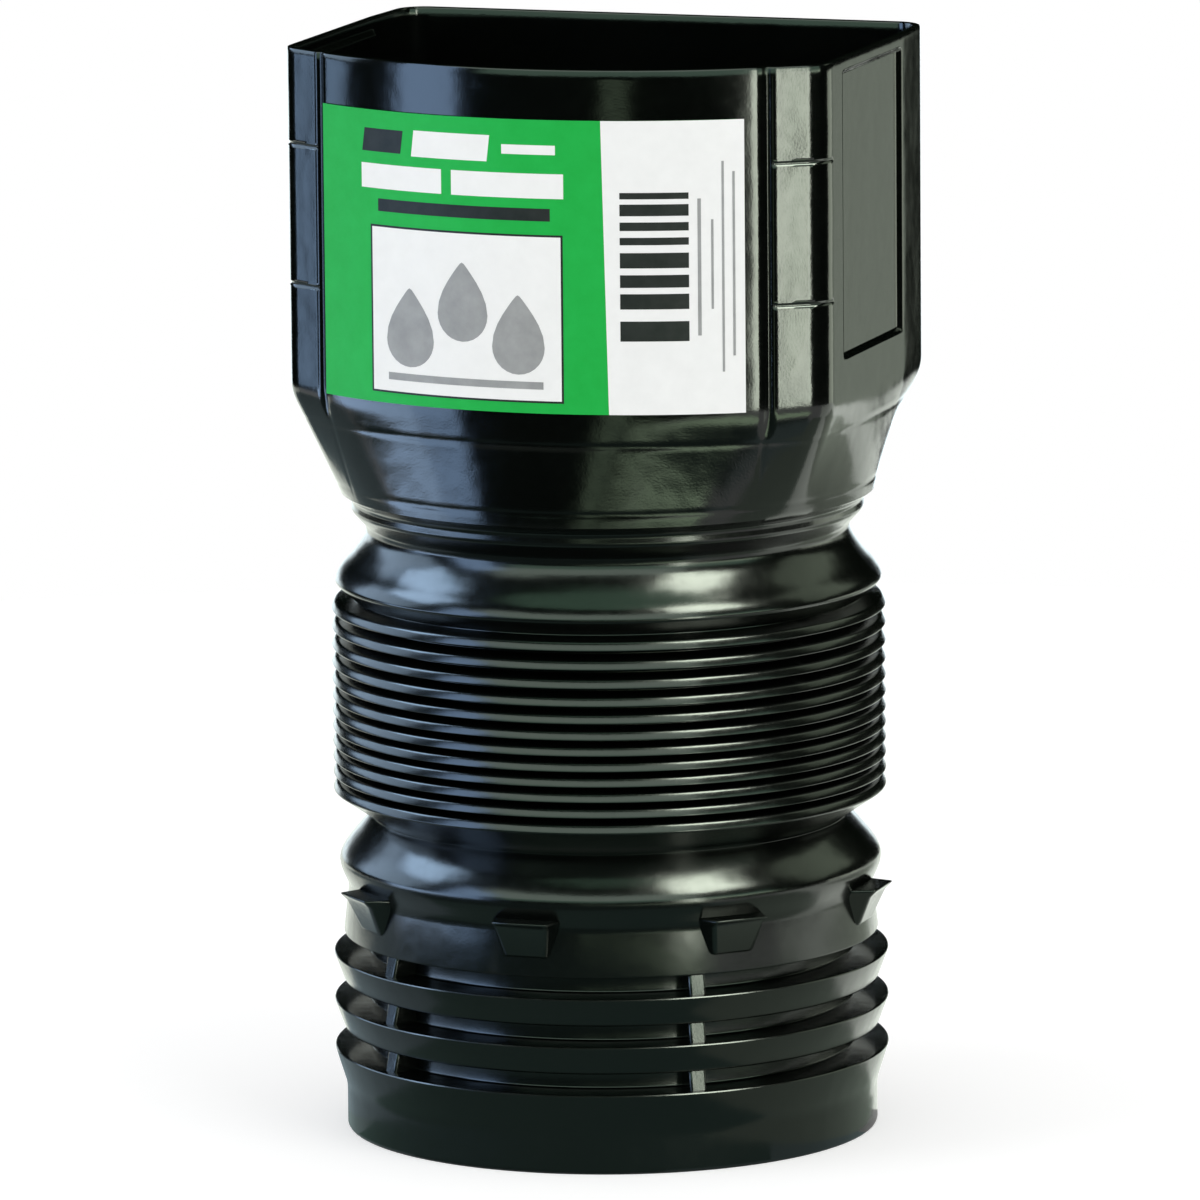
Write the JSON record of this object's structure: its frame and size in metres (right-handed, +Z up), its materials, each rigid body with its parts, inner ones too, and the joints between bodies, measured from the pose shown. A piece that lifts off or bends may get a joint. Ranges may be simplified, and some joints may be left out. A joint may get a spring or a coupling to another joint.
{
  "type": "flexible downspout adapter",
  "caption": "Bowed rectangular downspout cup on a pressed-together bellows, ending in a round barbed spigot that snaps into corrugated drain pipe.",
  "frame": {"origin": "on the spigot's axis, in the plane of the spigot's open end", "axes": "+Z up along the axis from the spigot to the cup, -Y towards the labelled front of the cup, +X to the right as seen from the front"},
  "size_m": [0.1102, 0.1116, 0.2119],
  "materials": {
    "body": "gloss black, blow moulded",
    "label": "printed green and white, satin"
  },
  "bodies": {
    "root": {"adapter_body": "body", "label": "label"}
  },
  "joints": []
}
